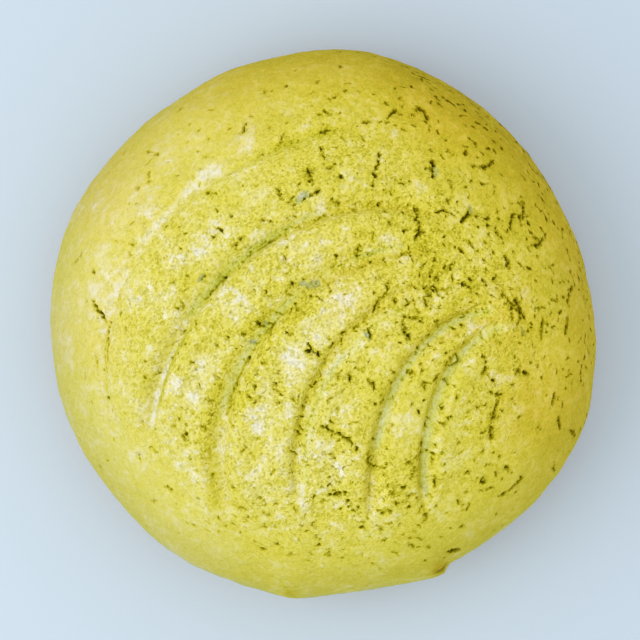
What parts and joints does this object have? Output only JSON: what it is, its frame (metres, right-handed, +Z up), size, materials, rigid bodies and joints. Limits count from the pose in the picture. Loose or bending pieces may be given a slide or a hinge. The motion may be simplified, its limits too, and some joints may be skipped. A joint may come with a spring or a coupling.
{
  "type": "matcha concha",
  "caption": "Round domed sweet bun with a flat underside, capped past its widest level by a crackled matcha sugar crust that is stamped with nested arcs.",
  "frame": {"origin": "middle of the flat underside, at the middle of the outline seen from above", "axes": "+Z up; seen from above with +Y up the page, the stamped arcs bulge towards the upper left and their open side faces +X and -Y"},
  "size_m": [0.1109, 0.1114, 0.0506],
  "materials": {
    "bread": "matte golden-brown baked crust",
    "matcha_sugar": "matte, granular yellow-green sugar paste, paler where it is thick and dusty"
  },
  "bodies": {
    "root": {"bun": "bread", "topping": "matcha_sugar"}
  },
  "joints": []
}
